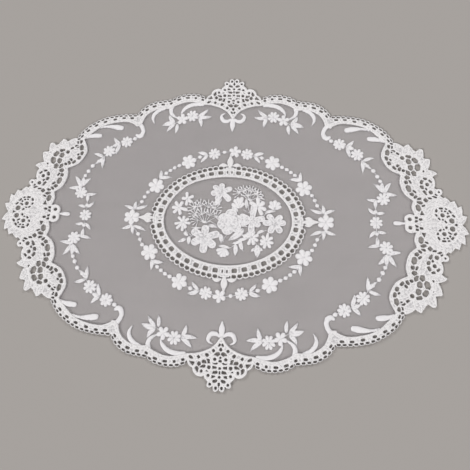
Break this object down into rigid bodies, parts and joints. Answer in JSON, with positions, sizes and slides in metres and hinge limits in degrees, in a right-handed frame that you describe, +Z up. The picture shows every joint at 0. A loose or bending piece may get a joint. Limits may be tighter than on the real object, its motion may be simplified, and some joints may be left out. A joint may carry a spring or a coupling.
{
  "type": "oval lace doily",
  "caption": "Oval lace doily lying flat: sheer net ground with satin sprays, openwork border with picot edge and crests, and an oval medallion with a bouquet.",
  "frame": {"origin": "middle of the doily on the surface it lies on", "axes": "+X along its length, +Y across it, +Z up out of its face side"},
  "size_m": [0.5948, 0.4118, 0.0019],
  "materials": {
    "net": "sheer net with raised satin stitch",
    "lace": "matt satin stitch openwork"
  },
  "bodies": {
    "root": {"net_ground": "net", "lace_border": "lace", "medallion_ring": "lace", "medallion_net": "net"}
  },
  "joints": []
}
